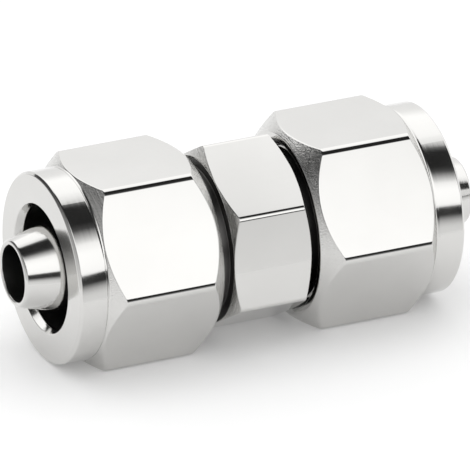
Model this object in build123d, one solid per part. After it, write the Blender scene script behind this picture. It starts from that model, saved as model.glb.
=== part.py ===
from build123d import *
from math import acos, atan2, cos, hypot, radians, sin, sqrt, tan
import os

os.makedirs("parts", exist_ok=True)

# Straight tube union: a hexagonal body with a hollow spigot at each end and a clamp nut
# on each of its two threads. All sizes are in millimetres.
# The origin is the centre of the body, +X runs along the axis to the right nut, +Z is up.

# Driving dimensions of the tube and the thread
tube_od = 10.0
tube_wall = 1.75
thread_margin = 2.0
thread_pitch = 1.0
overall_length = 40.0

# Driving dimensions of the body
hex_length = 6.9
hex_corner_round = 0.5
body_chamfer_angle = 27.0
# the body's chamfers bulge by this much at their middle, as a form tool leaves them
chamfer_crown = 0.02
body_corner_elevation = 32.5
relief_depth = 0.8
relief_length = 1.2
thread_length = 5.8
thread_lead_in = 0.45
stem_shoulder = 0.9
stem_cone_length = 2.6
neck_wall = 0.75
lip_wall = 0.45
lip_edge = 0.15
lip_length = 0.25
lip_countersink = 0.1
nose_length = 3.05
nose_round = 2.5
crest_length = 0.5
barb_back_length = 0.6
barb_grip = 0.35
passage_d = 4.7

# Driving dimensions of the nut
nut_wall = 1.0
nut_length = 12.9
nut_corner_round = 0.5
collar_length = 2.6
collar_step = 0.05
collar_chamfer_angle = 40.0
collar_edge = 0.25
end_chamfer_angle = 45.0
end_face_step = 0.4
mouth_lead_in = 0.3
mouth_lead_in_length = 0.65
seat_angle = 45.0

# Where the nuts stand: the space between each nut and the hexagon
left_gap = 1.15
right_gap = 0.5

# Clearances
tube_clearance = 0.1
thread_clearance = 0.05
seat_clearance = 0.4

# Radii that the pieces share
tube_bore = tube_od - 2 * tube_wall
thread_major_r = tube_od / 2 + thread_margin
thread_mean_r = thread_major_r - 0.6495 * thread_pitch / 2
body_thread_r = thread_mean_r - thread_clearance / 2
nut_thread_r = thread_mean_r + thread_clearance / 2
countersink_r = thread_major_r + 2 * thread_clearance
nut_flat_r = thread_major_r + nut_wall
body_flat_r = thread_major_r

# Radii of the spigot
passage_r = passage_d / 2
lip_r = passage_r + lip_wall
neck_r = passage_r + neck_wall
crest_r = tube_bore / 2 + barb_grip
relief_r = thread_major_r - relief_depth
stem_root_r = body_thread_r - thread_lead_in - stem_shoulder

# Stations along the body, from its centre outwards
hex_half = hex_length / 2
tip_x = overall_length / 2
thread_start_x = hex_half + relief_length
thread_end_x = thread_start_x + thread_length
cone_end_x = thread_end_x + stem_cone_length
lip_x = tip_x - lip_edge
nose_end_x = lip_x - lip_length
crest_end_x = nose_end_x - nose_length
crest_start_x = crest_end_x - crest_length
barb_back_x = crest_start_x - barb_back_length


def corner_reach(flat_r):
    """Radius that is safely outside the corners of a hexagon."""
    return flat_r * 2 / sqrt(3) + 1.0


def turned(points):
    """Solid of revolution about X from an outline of (station, radius) points."""
    return revolve(make_face(Polyline(*points, close=True)), Axis.X)


def crowned(start, end):
    """Outline of a chamfer between (station, radius) points, towards +X, crowned outwards."""
    along, up = end[0] - start[0], end[1] - start[1]
    side = chamfer_crown / hypot(along, up)
    middle = (start[0] + along / 2 - up * side, start[1] + up / 2 + along * side)
    return ThreePointArc(start, middle, end)


def hexagonal_bar(flat_r, corner_round, corner_elevation, start_x, length):
    """Bar with rounded corners along X, with one corner this many degrees above -Y."""
    outline = RegularPolygon(flat_r, 6, major_radius=False)
    outline = fillet(outline.vertices(), corner_round)
    # the polygon has one corner on its own X axis, and an elevation counts from -Y
    outline = Rot(0, 0, 180 - corner_elevation) * outline
    return extrude(Plane.YZ.offset(start_x) * outline, amount=length)


def nose_outline():
    """Nose of the spigot: leaves the crest level, rounds over and falls straight to the lip."""
    centre_r = crest_r - nose_round
    rise = lip_r - centre_r
    # the straight part is tangent to the rounding and passes through the lip
    turn = atan2(nose_length, rise) - acos(nose_round / hypot(nose_length, rise))
    on_round = [
        (crest_end_x + nose_round * sin(angle), centre_r + nose_round * cos(angle))
        for angle in (turn / 2, turn)
    ]
    fall = Line(on_round[1], (nose_end_x, lip_r))
    return ThreePointArc((crest_end_x, crest_r), *on_round) + fall


def stem():
    """One end of the body: relief, thread, seat cone, neck, barb, nose and lip."""
    lead_in_r = body_thread_r - thread_lead_in
    root = Polyline(
        (0, 0),
        (0, relief_r),
        (thread_start_x, relief_r),
        (thread_start_x, body_thread_r),
        (thread_end_x - thread_lead_in, body_thread_r),
        (thread_end_x, lead_in_r),
        (thread_end_x, stem_root_r),
        (cone_end_x, neck_r),
        (barb_back_x, neck_r),
        (crest_start_x, crest_r),
        (crest_end_x, crest_r),
    )
    tip = Polyline(
        (nose_end_x, lip_r),
        (lip_x, lip_r),
        (tip_x, lip_r - lip_edge),
        (tip_x, 0),
        (0, 0),
    )
    return revolve(make_face(root + nose_outline() + tip), Axis.X)


def union_body():
    """Hexagon with both stems, bored through."""
    reach = corner_reach(body_flat_r)
    fall = (reach - body_flat_r) * tan(radians(body_chamfer_angle))
    bar = hexagonal_bar(body_flat_r, hex_corner_round, body_corner_elevation, -hex_half, hex_length)
    outline = Polyline((hex_half, body_flat_r), (hex_half, 0), (-hex_half, 0), (-hex_half, body_flat_r))
    outline += crowned((-hex_half, body_flat_r), (fall - hex_half, reach))
    outline += Line((fall - hex_half, reach), (hex_half - fall, reach))
    outline += crowned((hex_half - fall, reach), (hex_half, body_flat_r))
    envelope = revolve(make_face(outline), Axis.X)
    right_stem = stem()
    left_stem = Rot(0, 0, 180) * right_stem
    mouth_r = passage_r + lip_countersink
    passage = turned(
        [
            (-tip_x, 0),
            (-tip_x, mouth_r),
            (lip_countersink - tip_x, passage_r),
            (tip_x - lip_countersink, passage_r),
            (tip_x, mouth_r),
            (tip_x, 0),
        ]
    )
    return (bar & envelope) + right_stem + left_stem - passage


def clamp_nut():
    """Clamp nut with its open end at X = 0 and its collar towards +X."""
    reach = corner_reach(nut_flat_r)
    collar_r = nut_flat_r - collar_step
    collar_x = nut_length - collar_length
    end_face_r = nut_flat_r - end_face_step
    end_top = ((reach - end_face_r) * tan(radians(end_chamfer_angle)), reach)
    collar_top = (collar_x - (reach - collar_r) * tan(radians(collar_chamfer_angle)), reach)
    bar = hexagonal_bar(nut_flat_r, nut_corner_round, 0, 0, nut_length)
    envelope = turned(
        [
            (0, end_face_r),
            end_top,
            collar_top,
            (collar_x, collar_r),
            (nut_length - collar_edge, collar_r),
            (nut_length, collar_r - collar_edge),
            (nut_length, 0),
            (0, 0),
        ]
    )
    bore_r = tube_od / 2 + tube_clearance
    # with the nut tightened up to the hexagon, its cone stays clear of the thread's end
    seat_x = thread_end_x - hex_half + seat_clearance
    bore_x = seat_x + (nut_thread_r - bore_r) / tan(radians(seat_angle))
    hollow = turned(
        [
            (-1, 0),
            (-1, countersink_r),
            (0, countersink_r),
            (countersink_r - nut_thread_r, nut_thread_r),
            (seat_x, nut_thread_r),
            (bore_x, bore_r),
            (nut_length - mouth_lead_in_length, bore_r),
            (nut_length, bore_r + mouth_lead_in),
            (nut_length + 1, bore_r + mouth_lead_in),
            (nut_length + 1, 0),
        ]
    )
    return (bar & envelope) - hollow


nut = clamp_nut()
nodes = {
    "union_body": union_body(),
    "left_nut": Pos(-hex_half - left_gap, 0, 0) * Rot(0, 0, 180) * nut,
    "right_nut": Pos(hex_half + right_gap, 0, 0) * nut,
}

for name, shape in nodes.items():
    shape.label = name
    export_step(shape, f"parts/{name}.step")
    box = shape.bounding_box()
    print(name, f"{shape.volume:.1f} mm3", f"{box.min.X:.2f} to {box.max.X:.2f} along X")
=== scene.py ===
# %% [markdown]
# # A push-on tube union in bright nickel
#
# The fitting has three turned pieces: a body with a hexagon in its middle and a hollow spigot
# at each end, and a clamp nut over each spigot. All three are bar work: hexagonal bar is
# chucked in a lathe, turned, threaded, drilled, and nickel plated at the end.
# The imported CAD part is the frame. It says where each piece stands and how it slides, and the
# pieces made here replace its plain solids with finished ones: rounded edges, cut threads,
# turning marks and plating.

# %% Load the frame
from math import atan2, cos, hypot, pi, radians, sin, sqrt, tan

import bpy
import numpy as np
from mathutils import Matrix, Vector


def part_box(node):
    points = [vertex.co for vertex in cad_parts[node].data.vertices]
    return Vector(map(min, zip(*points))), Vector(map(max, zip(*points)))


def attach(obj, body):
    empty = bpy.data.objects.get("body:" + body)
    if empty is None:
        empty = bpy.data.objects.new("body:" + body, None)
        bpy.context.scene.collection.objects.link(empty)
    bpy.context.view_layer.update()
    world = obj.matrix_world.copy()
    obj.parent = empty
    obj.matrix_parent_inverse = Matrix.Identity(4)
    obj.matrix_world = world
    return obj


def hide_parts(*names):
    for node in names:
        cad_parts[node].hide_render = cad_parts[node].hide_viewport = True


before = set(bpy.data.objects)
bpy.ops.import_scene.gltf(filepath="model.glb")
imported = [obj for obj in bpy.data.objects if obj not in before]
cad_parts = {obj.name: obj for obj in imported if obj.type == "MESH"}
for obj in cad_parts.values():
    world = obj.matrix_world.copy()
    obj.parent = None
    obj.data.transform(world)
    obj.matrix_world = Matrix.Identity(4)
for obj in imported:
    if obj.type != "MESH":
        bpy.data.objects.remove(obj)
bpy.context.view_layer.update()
MM = 0.001

# %% [markdown]
# ## Sizes
#
# A finished piece has to sit exactly where its CAD node sits, so the large sizes are read
# from the frame. The width across flats is the nut's height, because two of its flats lie
# level, and the body's length is its box along X. The rest are a turner's sizes in
# millimetres: edge breaks, chamfers and the thread's proportions.

# %% Sizes from the frame
nut_low, nut_high = (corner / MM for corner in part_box("right_nut"))
left_low, left_high = (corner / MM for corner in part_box("left_nut"))
tip_x = (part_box("union_body")[1] / MM).x
nut_flat_r = nut_high.z
nut_length = nut_high.x - nut_low.x
nut_wall = 1.0
right_gap = 0.5
tube_od = 10.0
thread_major_r = nut_flat_r - nut_wall
body_flat_r = thread_major_r
print(f"nut {2 * nut_flat_r:.2f} mm across flats, {nut_length:.2f} mm long; body {2 * tip_x:.2f}")

# %% [markdown]
# ## The hexagon, column by column
#
# A hexagonal nut is the same every sixty degrees, so only one sector is drawn, from the
# middle of one corner to the middle of the next. It is a row of columns, each a cut through
# the wall. The drawing die and the tumbling barrel leave the bar's corners rounded, and not
# as one even arc: a nut's corner turns slowly over two narrow strips and quickly between
# them. Those strips are what mirrors a broad dark or white line along the corner.

# %% The hexagon's columns
def hexagon_columns(flat_r, quick, slow, across=9):
    """(angle, radius) of each column of a sector; the corner turns on two radii."""
    bends = [(2.5, quick)] * 4 + [(8 / 3, slow)] * 3 + [(3.0, quick)] * 4
    turn = side = drop = 0.0
    places = [(0.0, 0.0)]
    for bend, radius in bends:
        step = radians(bend)
        chord = 2 * radius * sin(step / 2)
        side += chord * cos(turn + step / 2)
        drop += chord * sin(turn + step / 2)
        turn += step
        places.append((side, drop))
    # the corner moves out until its end lies on the flat
    top = (flat_r - side * sin(pi / 6)) / cos(pi / 6) + drop
    half = [(atan2(s, top - d), hypot(s, top - d)) for s, d in places]
    start = half[-1][0]
    for k in range(1, across + 1):
        angle = start + (pi / 6 - start) * k / across
        half.append((angle, flat_r / cos(pi / 6 - angle)))
    mirrored = [(pi / 6 - angle, r) for angle, r in half[-2::-1]]
    return [(angle - pi / 6, r) for angle, r in half] + mirrored


nut_columns = hexagon_columns(nut_flat_r, 0.4, 1.6)
body_columns = hexagon_columns(body_flat_r, 0.5, 0.5)
print(f"{len(nut_columns)} columns; a nut's corner reaches {nut_columns[0][1]:.2f} mm")

# %% [markdown]
# ## Edges that catch the light
#
# No turned edge is perfectly sharp. The tool's nose and the tumbling before plating leave a
# few hundredths of a millimetre, and that thin round is what draws a bright or a dark line
# along every edge. Each corner of the outline says how much it is eased, and becomes a short
# curve. It also says how the run after it is finished, and a curve between two finishes is
# left smooth.

# %% Ease the outline's corners
# INSIDE marks the bores, the nut's thread, the grooves and the hexagon's end faces, whose plate is
# painted dark as shade
TURNED, FLAT, GRAINED, INSIDE = range(4)


def eased(corners, steps=4):
    """Closed outline from corners of (station, radius, ease, rows, finish).

    The rows divide the run that follows the corner. Returns the points (station, radius) and,
    for the run after each point, its finish."""
    points, finishes = [], []
    count = len(corners)
    for i, (x, r, ease, rows, finish) in enumerate(corners):
        px, pr = corners[i - 1][:2]
        nx, nr = corners[(i + 1) % count][:2]
        back, on = max(hypot(px - x, pr - r), 1e-6), max(hypot(nx - x, nr - r), 1e-6)
        e = min(ease, 0.45 * back, 0.45 * on)
        a = (x + (px - x) * e / back, r + (pr - r) * e / back)
        b = (x + (nx - x) * e / on, r + (nr - r) * e / on)
        for k in range(steps):
            t = k / steps
            points.append(tuple((1 - t) ** 2 * p + 2 * t * (1 - t) * q + t * t * s
                                for p, q, s in zip(a, (x, r), b)))
            finishes.append(finish if finish == corners[i - 1][4] else TURNED)
        # the straight run to the next corner's own easing
        far = min(corners[(i + 1) % count][2], 0.45 * on,
                  0.45 * hypot(corners[(i + 2) % count][0] - nx, corners[(i + 2) % count][1] - nr))
        c = (nx + (x - nx) * far / on, nr + (r - nr) * far / on)
        for k in range(rows):
            t = k / rows
            points.append((b[0] + (c[0] - b[0]) * t, b[1] + (c[1] - b[1]) * t))
            finishes.append(finish)
    return points, finishes


print("a square outline becomes", len(eased([(0, 1, 0.1, 1, 0), (1, 1, 0.1, 1, 0),
                                             (1, 2, 0.1, 1, 0), (0, 2, 0.1, 1, 0)])[0]), "points")

# %% [markdown]
# ## One sixth of a turned hexagon
#
# The lathe's outline is the same in every column, and only the hexagon's radius changes from
# column to column. The chamfer is a cone and the flat is a plane, so their border climbs and
# falls along an arc. A bevel tool would need a boolean cut first and leave long thin
# triangles there. Columns that each end exactly on that border keep the arc clean. Every face
# keeps the number of its finish, for the materials later.

# %% Sector mesh
def sector_mesh(name, section, columns, turn):
    """One sector as a mesh. section(radius) gives the corners where the hexagon has that
    radius, and turn is the direction of the flat, from +Y towards +Z."""
    verts = []
    for angle, radius in columns:
        points, finishes = eased(section(radius))
        verts += [(x * MM, r * cos(turn + angle) * MM, r * sin(turn + angle) * MM)
                  for x, r in points]
    n = len(finishes)
    faces = [(j * n + i, j * n + (i + 1) % n, (j + 1) * n + (i + 1) % n, (j + 1) * n + i)
             for j in range(len(columns) - 1) for i in range(n)]
    mesh = bpy.data.meshes.new(name)
    mesh.from_pydata(verts, [], faces)
    finish = mesh.attributes.new("finish", "INT", "FACE")
    finish.data.foreach_set("value", finishes * (len(columns) - 1))
    mesh.update()
    return mesh


# %% [markdown]
# ## Small tools for node trees
#
# Geometry Nodes and shader nodes are wired by the same helpers: for arithmetic, for a node
# with its inputs by name, for a new tree, and for adding a tree to a piece as a modifier.

# %% Node helpers
def wired(tree, socket, value):
    """Links or sets an input."""
    if isinstance(value, bpy.types.NodeSocket):
        tree.links.new(value, socket)
    elif value is not None:
        socket.default_value = value


def maths(tree, operation, *values):
    """Socket with the result of an operation on numbers or sockets."""
    node = tree.nodes.new("ShaderNodeMath")
    node.operation = operation
    for socket, value in zip(node.inputs, values):
        wired(tree, socket, value)
    return node.outputs[0]


def off_axis(tree, y, z):
    """Distance from the fitting's axis."""
    squares = maths(tree, "ADD", maths(tree, "MULTIPLY", y, y), maths(tree, "MULTIPLY", z, z))
    return maths(tree, "SQRT", squares)


def placed(tree, kind, settings=(), **inputs):
    """A node with its settings, and inputs by name with _ for a space."""
    node = tree.nodes.new(kind)
    for key, value in dict(settings).items():
        setattr(node, key, value)
    for key, value in inputs.items():
        wired(tree, node.inputs[key.replace("_", " ")], value)
    return node


def new_tree(name, **sockets):
    """Geometry Nodes tree with these named inputs, and its own inputs and outputs as sockets."""
    tree = bpy.data.node_groups.new(name, "GeometryNodeTree")
    tree.interface.new_socket("Geometry", in_out="OUTPUT", socket_type="NodeSocketGeometry")
    tree.interface.new_socket("Geometry", in_out="INPUT", socket_type="NodeSocketGeometry")
    for key, kind in sockets.items():
        tree.interface.new_socket(key.replace("_", " "), in_out="INPUT",
                                  socket_type="NodeSocket" + kind)
    return tree, tree.nodes.new("NodeGroupInput").outputs, tree.nodes.new("NodeGroupOutput").inputs


def worked(piece, tree, **values):
    """Adds the tree to the piece as a modifier, with these values for its named inputs."""
    modifier = piece.modifiers.new(tree.name, "NODES")
    modifier.node_group = tree
    identifiers = {item.name: item.identifier for item in tree.interface.items_tree
                   if item.in_out == "INPUT"}
    for key, value in values.items():
        modifier[identifiers[key.replace("_", " ")]] = value
    return modifier


# %% [markdown]
# ## Six sectors make the piece
#
# The sector is repeated round the axis by a small tree: six points, an instance of the sector
# on each, turned sixty degrees further, then realized and merged along the corners' middles.
# An array modifier with an object offset would do it too, but needs an empty for the angle.
# The tree ends by giving each face the material of its finish.

# %% Tree that goes six times round
def round_the_axis():
    tree, given, out = new_tree("round_the_axis", Sectors="Int", Turned="Material",
                                Flats="Material", Grained="Material", Inside="Material")
    line = placed(tree, "GeometryNodeMeshLine", Count=given["Sectors"])
    wired(tree, line.inputs["Offset"], (0, 0, 0))
    index = placed(tree, "GeometryNodeInputIndex").outputs[0]
    angle = maths(tree, "DIVIDE", maths(tree, "MULTIPLY", index, 2 * pi), given["Sectors"])
    turn = placed(tree, "ShaderNodeCombineXYZ", X=angle).outputs[0]
    sectors = placed(tree, "GeometryNodeInstanceOnPoints", Points=line.outputs[0],
                     Instance=given["Geometry"], Rotation=turn)
    real = placed(tree, "GeometryNodeRealizeInstances", Geometry=sectors.outputs[0])
    whole = placed(tree, "GeometryNodeMergeByDistance", Geometry=real.outputs[0], Distance=1e-7)
    finish = placed(tree, "GeometryNodeInputNamedAttribute", {"data_type": "INT"}, Name="finish")
    made = whole.outputs[0]
    for number, key in enumerate(("Turned", "Flats", "Grained", "Inside")):
        chosen = maths(tree, "COMPARE", finish.outputs["Attribute"], number, 0.5)
        made = placed(tree, "GeometryNodeSetMaterial", Geometry=made, Selection=chosen,
                      Material=given[key]).outputs[0]
    wired(tree, out["Geometry"], made)
    return tree


# %% [markdown]
# ## Cutting the thread
#
# A thread is one groove that winds round the blank, one pitch further for each turn. The tree
# does what the lathe does: it takes the turned blank and lowers every point to the groove's
# radius where the groove passes, and never raises one. At the blank's end chamfers the groove
# runs out by itself, as a real one does. Inside the nut the same tree cuts outwards instead.
# The angle round the axis shifts the groove along it, which makes a right-hand thread on both
# ends, because turning a right-hand thread end for end leaves it right-handed.

# %% Tree that cuts a helical groove
def thread_cutter():
    tree, given, out = new_tree("cut_thread", Pitch="Float", Crest_Radius="Float", Start="Float",
                                End="Float", Phase="Float", Inside="Bool")
    where = placed(tree, "GeometryNodeInputPosition").outputs[0]
    x, y, z = placed(tree, "ShaderNodeSeparateXYZ", Vector=where).outputs
    r = off_axis(tree, y, z)
    turns = maths(tree, "DIVIDE", maths(tree, "ARCTAN2", z, y), 2 * pi)
    along = maths(tree, "SUBTRACT", maths(tree, "DIVIDE", x, given["Pitch"]), turns)
    share = maths(tree, "FRACT", maths(tree, "ADD", along, given["Phase"]))
    from_root = maths(tree, "ABSOLUTE", maths(tree, "SUBTRACT", share, 0.5))
    from_crest = maths(tree, "SUBTRACT", 0.5, from_root)
    # 60 degree flanks between a crest an eighth and a root a quarter of the pitch wide
    down = maths(tree, "MULTIPLY", maths(tree, "SUBTRACT", from_crest, 1 / 16), sqrt(3))
    share_deep = maths(tree, "MINIMUM", maths(tree, "MAXIMUM", down, 0.0), 5 * sqrt(3) / 16)
    depth = maths(tree, "MULTIPLY", share_deep, given["Pitch"])
    groove_r = maths(tree, "SUBTRACT", given["Crest Radius"], depth)
    lower = maths(tree, "MINIMUM", r, groove_r)
    higher = maths(tree, "MAXIMUM", r, groove_r)
    cut_r = placed(tree, "GeometryNodeSwitch", {"input_type": "FLOAT"}, Switch=given["Inside"])
    wired(tree, cut_r.inputs["False"], lower)
    wired(tree, cut_r.inputs["True"], higher)
    scale = maths(tree, "DIVIDE", cut_r.outputs[0], r)
    moved = placed(tree, "ShaderNodeCombineXYZ", X=x, Y=maths(tree, "MULTIPLY", y, scale),
                   Z=maths(tree, "MULTIPLY", z, scale)).outputs[0]
    inside = maths(tree, "MULTIPLY", maths(tree, "GREATER_THAN", x, given["Start"]),
                   maths(tree, "LESS_THAN", x, given["End"]))
    cut = placed(tree, "GeometryNodeSetPosition", Geometry=given["Geometry"], Selection=inside,
                 Position=moved)
    wired(tree, out["Geometry"], cut.outputs[0])
    return tree


# %% Set up the two trees
six_round = round_the_axis()
cutter = thread_cutter()
print("nodes in the trees:", {made.name: len(made.nodes) for made in (six_round, cutter)})


# %% [markdown]
# ## The clamp nut
#
# The outline starts at the open end, where the nut is screwed on, goes along the outside to
# the collar's face, and comes back through the hole. Bar of 16 mm across flats is turned down
# to a round collar just under that width, so the flats end in a cone that runs into the
# collar. The collar's face is faced flat with a small lead-in for the tube. Inside are the
# minor diameter of the thread, an undercut where the thread tool runs out, the cone that
# presses the tube onto the body, and the bore for the tube.

# %% Sizes of the nut
collar_length = 2.6
collar_r = nut_flat_r - 0.05
collar_edge = 0.22
collar_chamfer = radians(40)
end_face_r = nut_flat_r - 0.4
end_chamfer = radians(45)
# the fine groove that the collar starts with: its bottom, its far edge and its depth
groove_x, groove_end, groove_depth = 0.12, 0.26, 0.05
bore_r = tube_od / 2 + 0.1
mouth_r = bore_r + 0.3
mouth_length = 0.65
thread_pitch = 1.0
thread_depth = 5 * sqrt(3) / 16 * thread_pitch
thread_gap = 0.06
crest_thread_r = thread_major_r - 0.05
minor_r = crest_thread_r - thread_depth + thread_gap
seat_x = 7.4
undercut_x = 6.6
runout_length = 0.4
countersink_r = thread_major_r + 0.1


def nut_section(flat_r):
    """Corners of the wall's outline where the hexagon has this radius, from the open end."""
    collar_x = nut_length - collar_length
    return [
        (0, end_face_r, 0.07, 1, GRAINED),
        ((flat_r - end_face_r) * tan(end_chamfer), flat_r, 0.08, 1, FLAT),
        (collar_x - (flat_r - collar_r) * tan(collar_chamfer), flat_r, 0.06, 3, GRAINED),
        (collar_x, collar_r, 0.04, 1, TURNED),
        (collar_x + groove_x, collar_r - groove_depth, 0.05, 1, TURNED),
        (collar_x + groove_end, collar_r, 0.05, 1, TURNED),
        (nut_length - collar_edge, collar_r, 0.06, 1, TURNED),
        (nut_length, collar_r - collar_edge, 0.06, 1, TURNED),
        (nut_length, mouth_r, 0.06, 1, TURNED),
        (nut_length - mouth_length, bore_r, 0.1, 1, INSIDE),
        (seat_x + countersink_r - bore_r, bore_r, 0.1, 1, INSIDE),
        (seat_x, countersink_r, 0.08, 1, INSIDE),
        (undercut_x, countersink_r, 0.08, 6, INSIDE),
        (undercut_x - runout_length, minor_r, 0.04, 96, INSIDE),
        (countersink_r - minor_r, minor_r, 0.04, 10, INSIDE),
        (0, countersink_r, 0.05, 1, TURNED),
    ]


print("corners of the nut's outline:", len(nut_section(nut_flat_r)))

# %% [markdown]
# ## The body
#
# One piece of 14 mm hexagonal bar. From the hexagon outwards it has a relief groove, the
# thread, a shoulder, the cone that the tube is pressed on, a neck, and a barb with a rounded
# nose that ends in a thin lip. The same outline is used for both ends.

# %% Sizes of the body
hex_half = nut_low.x - right_gap
body_face_r = body_flat_r - 0.05
body_chamfer = radians(27)
corner_elevation = 32.5
relief_r = thread_major_r - 0.8
relief_length = 1.2
thread_x = hex_half + relief_length
thread_end = thread_x + 5.8
thread_start_ramp = 0.3
lead_in_length, lead_in_drop = 0.6, 0.75
shoulder_r = 5.3
cone_length = 2.6
neck_r = 3.1
barb_r = 3.6
crest_length = 0.5
barb_back = 0.6
nose_length = 3.05
nose_round = 2.5
lip_r = 2.8
lip_edge = 0.15
lip_length = 0.25
passage_r = 2.35
passage_edge = 0.1


def nose_points(start_x):
    """Nose: leaves the barb level, rounds over, and falls straight to the lip."""
    rise = lip_r - (barb_r - nose_round)
    turn = atan2(nose_length, rise) - np.arccos(nose_round / hypot(nose_length, rise))
    return [
        (start_x + nose_round * sin(a), barb_r - nose_round + nose_round * cos(a), 0.0, 1, TURNED)
        for a in np.linspace(0, turn, 7)[1:]
    ]


def body_section(flat_r):
    """Corners of the body's outline where the hexagon has this radius."""
    fall = (flat_r - body_face_r) * tan(body_chamfer)
    nose_end = tip_x - (lip_length + lip_edge)
    crest_x = nose_end - nose_length
    right = [
        (hex_half - fall, flat_r, 0.06, 1, GRAINED),
        (hex_half, body_face_r, 0.05, 1, INSIDE),
        (hex_half, relief_r, 0.1, 1, INSIDE),
        (thread_x, relief_r, 0.1, 6, TURNED),
        (thread_x + thread_start_ramp, crest_thread_r, 0.04, 80, TURNED),
        (thread_end - lead_in_length, crest_thread_r, 0.04, 10, TURNED),
        (thread_end, crest_thread_r - lead_in_drop, 0.04, 1, TURNED),
        (thread_end, shoulder_r, 0.05, 1, TURNED),
        (thread_end + cone_length, neck_r, 0.2, 1, TURNED),
        (crest_x - (crest_length + barb_back), neck_r, 0.15, 1, TURNED),
        (crest_x - crest_length, barb_r, 0.06, 1, TURNED),
        (crest_x, barb_r, 0.0, 1, TURNED),
        *nose_points(crest_x),
        (tip_x - lip_edge, lip_r, 0.08, 1, TURNED),
        (tip_x, lip_r - lip_edge, 0.06, 1, TURNED),
        (tip_x, passage_r + passage_edge, 0.05, 1, TURNED),
        (tip_x - passage_edge, passage_r, 0.04, 12, INSIDE),
    ]
    # the left half is the right half walked backwards, so the rows and the finish of a run
    # move to its other end
    left = [(-x, r, ease, *right[i - 1][3:]) for i, (x, r, ease, *_) in enumerate(right)][::-1]
    left[-1] = (*left[-1][:3], 3, FLAT)
    return right + left


print("corners of the body's outline:", len(body_section(body_flat_r)))

# %% [markdown]
# ## Plating
#
# Bright nickel is a mirror with a faint warm tint: what it shows is the studio. Its outside
# finishes differ only in what lies under the plate. The flats are drawn bar, so their faint lines run
# along the axis. The collar and the faces were cut on the lathe, and a lathe leaves rings, so
# their pattern is read from the distance along the axis and from the axis, and hardly changes
# round it. The chamfers were cut by a form tool, which chatters and leaves a fine grain. The
# marks tilt the surface by a degree or so, the grain by more, and the plate is a little less
# smooth in places. The bores, the nut's thread, the grooves and the hexagon's end faces get a
# duller plate, and its colour is painted far darker than nickel: painted shade for the dark that
# falls in these hollows and gaps.

# %% Finishes of nickel
nickel_colour = (0.67, 0.665, 0.65)
# painted shade: the inside faces get this colour, far darker than nickel, in place of the shade that
# falls in them
bore_painted_shade_colour = (0.10, 0.098, 0.095)
wear_per_metre = 220.0
specks_per_metre = 9000.0
# nearly all of a noise texture's values lie between these
noise_range = dict(From_Min=0.3, From_Max=0.7)


def plating(name, colour, roughness, line_width, tilt, ringed, grain=0.0):
    """Nickel plate over marks this wide, in metres, that tilt the surface by about this slope."""
    material = bpy.data.materials.new(name)
    material.use_nodes = True
    tree = material.node_tree
    shader = tree.nodes["Principled BSDF"]
    shader.inputs["Metallic"].default_value = 1.0
    where = placed(tree, "ShaderNodeTexCoord").outputs["Object"]
    x, y, z = placed(tree, "ShaderNodeSeparateXYZ", Vector=where).outputs
    if ringed:
        round_it = maths(tree, "MULTIPLY", maths(tree, "ARCTAN2", z, y), 0.3 * line_width)
        pattern = placed(tree, "ShaderNodeCombineXYZ", X=x, Y=off_axis(tree, y, z), Z=round_it)
    else:
        drawn_out = maths(tree, "MULTIPLY", x, 0.03)
        pattern = placed(tree, "ShaderNodeCombineXYZ", X=drawn_out, Y=y, Z=z)
    marks = placed(tree, "ShaderNodeTexNoise", Vector=pattern.outputs[0], Scale=1 / line_width,
                   Detail=2.0)
    wear = placed(tree, "ShaderNodeTexNoise", Vector=where, Scale=wear_per_metre, Detail=3.0)
    rough = placed(tree, "ShaderNodeMapRange", Value=wear.outputs[0], **noise_range,
                   To_Min=roughness * 0.7, To_Max=roughness * 1.3)
    wired(tree, shader.inputs["Roughness"], rough.outputs[0])
    tone = placed(tree, "ShaderNodeMapRange", Value=wear.outputs[0], **noise_range,
                  To_Min=0.97, To_Max=1.0)
    tinted = placed(tree, "ShaderNodeVectorMath", {"operation": "SCALE"}, Scale=tone.outputs[0])
    tinted.inputs[0].default_value = colour
    wired(tree, shader.inputs["Base Color"], tinted.outputs[0])
    bump = placed(tree, "ShaderNodeBump", Height=marks.outputs[0], Strength=1.0,
                  Distance=line_width * tilt)
    if grain:
        specks = placed(tree, "ShaderNodeTexNoise", Vector=where, Scale=specks_per_metre, Detail=2.0)
        speckled = placed(tree, "ShaderNodeBump", Height=specks.outputs[0], Strength=1.0,
                          Distance=grain / specks_per_metre)
        wired(tree, bump.inputs["Normal"], speckled.outputs[0])
    wired(tree, shader.inputs["Normal"], bump.outputs[0])
    return material


drawn_nickel = plating("drawn_nickel", nickel_colour, 0.06, 0.0004, 0.003, ringed=False)
turned_nickel = plating("turned_nickel", nickel_colour, 0.11, 0.00025, 0.018, ringed=True)
grained_nickel = plating("grained_nickel", nickel_colour, 0.13, 0.00022, 0.12, ringed=True,
                         grain=0.28)
# painted shade: a dull plate whose very dark colour stands in for the shade in the bores, grooves and
# gaps
dull_nickel_painted_shade = plating("dull_nickel_painted_shade", bore_painted_shade_colour, 0.35, 0.0003, 0.05, ringed=True)
print("finishes:", [m.name for m in (drawn_nickel, turned_nickel, grained_nickel, dull_nickel_painted_shade)])

# %% [markdown]
# ## From sector to finished piece
#
# Each piece goes through the same stations as at the lathe: six sectors are joined, the
# thread is cut, and the result becomes a plain closed mesh. Shading needs one more step. A
# point between a wide flat and a narrow eased edge would by default lean half towards each,
# and the mirror-like flat would look cushioned. Normals weighted by area keep the flat flat
# and leave the whole turn to the edge.

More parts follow.
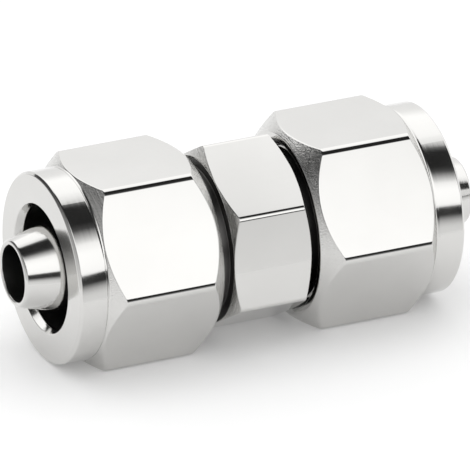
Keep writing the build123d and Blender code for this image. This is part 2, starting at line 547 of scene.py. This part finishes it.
# %% Make one piece
def settled(mesh):
    """Makes the faces point outwards and gives each point the area-weighted normal."""
    places = np.empty(len(mesh.vertices) * 3)
    mesh.vertices.foreach_get("co", places)
    places = places.reshape(-1, 3)
    mesh.calc_loop_triangles()
    corners = np.empty(len(mesh.loop_triangles) * 3, int)
    mesh.loop_triangles.foreach_get("vertices", corners)
    a, b, c = (places[corners.reshape(-1, 3)[:, i]] for i in range(3))
    lean = np.cross(b - a, c - a)
    volume = (a * lean).sum() / 6
    if volume < 0:
        mesh.flip_normals()
        lean = -lean
    normals = np.zeros_like(places)
    for i in range(3):
        np.add.at(normals, corners.reshape(-1, 3)[:, i], lean)
    normals /= np.linalg.norm(normals, axis=1)[:, None]
    mesh.polygons.foreach_set("use_smooth", np.ones(len(mesh.polygons), bool))
    mesh.normals_split_custom_set_from_vertices(normals)
    return abs(volume)


def turned_piece(name, body, sector, cuts):
    """Piece that replaces the CAD node of its name, from one sector and its thread cuts."""
    blank = bpy.data.objects.new(name + "_blank", sector)
    bpy.context.scene.collection.objects.link(blank)
    worked(blank, six_round, Sectors=6, Turned=turned_nickel, Flats=drawn_nickel,
           Grained=grained_nickel, Inside=dull_nickel_painted_shade)
    for cut in cuts:
        worked(blank, cutter, Pitch=thread_pitch * MM, Phase=0.0, **cut)
    evaluated = blank.evaluated_get(bpy.context.evaluated_depsgraph_get())
    mesh = bpy.data.meshes.new_from_object(evaluated)
    bpy.data.objects.remove(blank)
    volume = settled(mesh)
    piece = bpy.data.objects.new(name + "_finished", mesh)
    bpy.context.scene.collection.objects.link(piece)
    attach(piece, body)
    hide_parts(name)
    print(f"{name}: {len(mesh.polygons)} faces, {volume / MM**3:.1f} mm3")
    return piece


# %% [markdown]
# ## The three pieces
#
# The body's hexagon is turned a little against the nuts' on its axis, as it stands in the
# photograph. A sector's direction is that of the flat in its middle.

# %% Body and nuts
body_turn = radians(180 - corner_elevation + 30)
body_sector = sector_mesh("body_sector", body_section, body_columns, body_turn)
# each cut stops a thousandth of a millimetre short of the thread's end face
short = 1e-6
body_cuts = [
    dict(Crest_Radius=crest_thread_r * MM, Start=thread_x * MM, End=thread_end * MM - short,
         Inside=False),
    dict(Crest_Radius=crest_thread_r * MM, Start=-thread_end * MM + short, End=-thread_x * MM,
         Inside=False),
]
turned_piece("union_body", "body", body_sector, body_cuts)

for node, body, origin, way in (
    ("left_nut", "left_clamp", left_high.x, -1),
    ("right_nut", "right_clamp", nut_low.x, 1),
):
    def standing(flat_r, origin=origin, way=way):
        return [(origin + way * x, *corner) for x, *corner in nut_section(flat_r)]

    sector = sector_mesh(node + "_sector", standing, nut_columns, pi / 2)
    ends = sorted((origin, origin + way * undercut_x))
    turned_piece(node, body, sector, [
        dict(Crest_Radius=(crest_thread_r + thread_gap) * MM, Start=ends[0] * MM,
             End=ends[1] * MM, Inside=True),
    ])

# %% [markdown]
# ## Floor and sky
#
# The floor is a plain pale sheet at the level of the nuts' lower flats, under a soft sky that
# is brighter overhead and behind, so a shadow gathers under the fitting and in front of it.
# The camera and the metal see the background white: the sky has strength 1 for their rays,
# and the floor a little light of its own.

# %% Floor
def sheet(name, rows, material):
    """Sheet through rows of points in millimetres."""
    mesh = bpy.data.meshes.new(name)
    n = len(rows[0])
    faces = [(j * n + i, j * n + i + 1, (j + 1) * n + i + 1, (j + 1) * n + i)
             for j in range(len(rows) - 1) for i in range(n - 1)]
    mesh.from_pydata([tuple(v * MM for v in point) for row in rows for point in row], [], faces)
    mesh.materials.append(material)
    piece = bpy.data.objects.new(name, mesh)
    bpy.context.scene.collection.objects.link(piece)
    return piece


def seen_ray(tree):
    """1 for the rays of the camera and of the metal, 0 for the light that falls on the floor."""
    ray = placed(tree, "ShaderNodeLightPath").outputs
    direct = maths(tree, "MAXIMUM", ray["Is Camera Ray"], ray["Is Glossy Ray"])
    return maths(tree, "MAXIMUM", direct, ray["Is Transmission Ray"])


paper_glow = 0.15
floor_half = 900
paper = bpy.data.materials.new("white_paper")
paper.use_nodes = True
tree = paper.node_tree
shader = tree.nodes["Principled BSDF"]
shader.inputs["Base Color"].default_value = (0.88, 0.88, 0.88, 1.0)
shader.inputs["Roughness"].default_value = 0.9
shader.inputs["Specular IOR Level"].default_value = 0.0
shader.inputs["Emission Color"].default_value = (1.0, 1.0, 1.0, 1.0)
wired(tree, shader.inputs["Emission Strength"],
      maths(tree, "MULTIPLY", seen_ray(tree), paper_glow))
floor = sheet("floor", [[(x, y, -nut_flat_r) for x in (-floor_half, floor_half)]
                        for y in (-floor_half, floor_half)], paper)

# %% Sky
# how much the sky's light gains overhead and behind the fitting, over its base
overhead_gain, behind_gain, sky_gain, sky_base = 0.9, 0.3, 1.25, 0.32
world = bpy.data.worlds.new("studio")
bpy.context.scene.world = world
world.use_nodes = True
tree = world.node_tree
backdrop = tree.nodes["Background"]
direction = placed(tree, "ShaderNodeTexCoord").outputs["Generated"]
_, dy, dz = placed(tree, "ShaderNodeSeparateXYZ", Vector=direction).outputs
towards = maths(tree, "ADD", maths(tree, "MULTIPLY", dz, overhead_gain),
                maths(tree, "MULTIPLY", dy, behind_gain))
lit_side = maths(tree, "MULTIPLY", maths(tree, "MAXIMUM", towards, 0.0), sky_gain)
soft_sky = maths(tree, "ADD", lit_side, sky_base)
seen = seen_ray(tree)
unseen = maths(tree, "SUBTRACT", 1.0, seen)
strength = maths(tree, "ADD", seen, maths(tree, "MULTIPLY", soft_sky, unseen))
wired(tree, backdrop.inputs["Strength"], strength)
backdrop.inputs["Color"].default_value = (1.0, 1.0, 1.0, 1.0)
bpy.context.scene.view_settings.view_transform = "Standard"
print("world:", world.name)

# %% [markdown]
# ## What the mirror sees
#
# Polished metal in an even white room looks like grey paper. A photographer gives it form
# with panels that only show as reflections: a white panel overhead with a black strip hung
# across it, a dark gap at the front edge of the table, and a dark wall at the left. They
# stand close, just outside the picture, so their edges slide along the fitting. Each is a
# strip of faces with its brightness at every fold, so the black fades softly into the white.
# Only glossy rays meet them, and they put no light or shadow on the floor.

# %% Panels
glow = bpy.data.materials.new("panel_glow")
glow.use_nodes = True
tree = glow.node_tree
tree.nodes.remove(tree.nodes["Principled BSDF"])
brightness = placed(tree, "ShaderNodeAttribute", {"attribute_name": "brightness"}).outputs["Fac"]
lit = placed(tree, "ShaderNodeEmission", Strength=brightness)
wired(tree, tree.nodes["Material Output"].inputs["Surface"], lit.outputs[0])


def panel(name, across, up, along, folds, start, end):
    """Panel in millimetres: folds (across, up, brightness), drawn out along a direction."""
    across, up, along = Vector(across), Vector(up), Vector(along)
    rows = [[tuple(across * a + up * b + along * s) for a, b, _ in folds] for s in (start, end)]
    piece = sheet(name, rows, glow)
    level = piece.data.attributes.new("brightness", "FLOAT", "POINT")
    level.data.foreach_set("value", [value for _, _, value in folds] * 2)
    for kind in ("camera", "diffuse", "shadow", "transmission", "volume_scatter"):
        setattr(piece, "visible_" + kind, False)
    return piece


# the overhead panel is square to the camera, and all of it but its two rims is this high
sideways, away = (0.907, -0.42, 0), (0.42, 0.907, 0)
ceiling = 62
overhead = [
    (-295, 1.4), (-72, 1.52), (-52, 1.35), (-44, 0.9), (-36, 0.5), (-28, 0.08), (-20, 0.02),
    (1, 0.02), (6, 0.15), (11, 1.15), (18, 1.3), (26, 1.45), (72, 1.5), (96, 1.3), (120, 1.16),
    (160, 1.1), (400, 1.02),
]
panel("overhead_panel", away, (0, 0, 1), sideways, [
    (-300, 40, 0.03), (-300, 57, 0.03),
    *((across, ceiling, value) for across, value in overhead),
    (400, -8, 1.02)], -70, 300)
panel("front_panel", (0, 1, 0), (0, 0, 1), (1, 0, 0), [
    (-26, -7.8, 1.0), (-38, -7.7, 0.92), (-57, -7.6, 0.68), (-100, -7.5, 0.35), (-180, -7.4, 0.16),
    (-330, -7.3, 0.03), (-330, 52, 0.03)], -200, 400)
panel("left_panel", (1, 0, 0), (0, 0, 1), (0, 1, 0), [
    (-60, -8, 0.9), (-60, 8, 0.75), (-60, 20, 0.5), (-60, 32, 0.3), (-60, 45, 0.06), (-60, 75, 0.05)],
    -120, 160)

# %% [markdown]
# ## Camera
#
# A long lens from the left and above, so parallel edges hardly run together. Its place is
# measured from the left nut's face, because that face is what the photograph shows best.

# %% Camera
distance, shift_right, shift_up = 897.3, 15.714, 2.716
sensor, focal_pixels, photo_pixels = 36.0, 11095, 470
look = Vector((0.38328877, 0.8279943, -0.40928615))
right = Vector((0.90748442, -0.42008573, 0.0))
above = right.cross(look)
face = Vector((left_low.x, 0, 0))
eye = (face - distance * look + shift_right * right + shift_up * above) * MM
camera_data = bpy.data.cameras.new("camera")
camera_data.sensor_width = sensor
camera_data.lens = sensor * focal_pixels / photo_pixels
camera_data.clip_start = 0.01
camera_data.clip_end = 10.0
camera = bpy.data.objects.new("camera", camera_data)
bpy.context.scene.collection.objects.link(camera)
camera.matrix_world = Matrix.Translation(eye) @ Matrix((right, above, -look)).transposed().to_4x4()
bpy.context.scene.camera = camera
print("camera", tuple(round(v / MM, 1) for v in eye), f"lens {camera_data.lens:.0f} mm")
